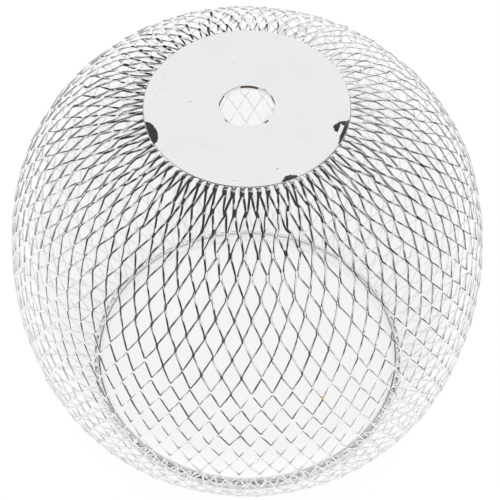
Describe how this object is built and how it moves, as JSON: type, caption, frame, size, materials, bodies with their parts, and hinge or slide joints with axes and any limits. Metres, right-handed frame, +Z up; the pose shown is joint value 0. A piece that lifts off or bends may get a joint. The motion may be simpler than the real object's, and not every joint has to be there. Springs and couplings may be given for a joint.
{
  "type": "metal lampshade",
  "caption": "Ball-shaped lampshade of chromed expanded metal, with a flat top disc bored for a lamp nipple and a folded channel round its open mouth.",
  "frame": {"origin": "on the shade's axis at the foot of its rim, where it stands", "axes": "+Z up along the shade's axis from the open mouth to the top disc; -Y is the front in the reference view"},
  "size_m": [0.1, 0.1, 0.087],
  "materials": {
    "mesh_chrome": "bright plated expanded metal",
    "disc_chrome": "bright plated plate, slightly hazed",
    "rim_chrome": "bright plated folded strip"
  },
  "bodies": {
    "root": {"mesh_body": "mesh_chrome", "top_disc": "disc_chrome", "bottom_rim": "rim_chrome"}
  },
  "joints": []
}
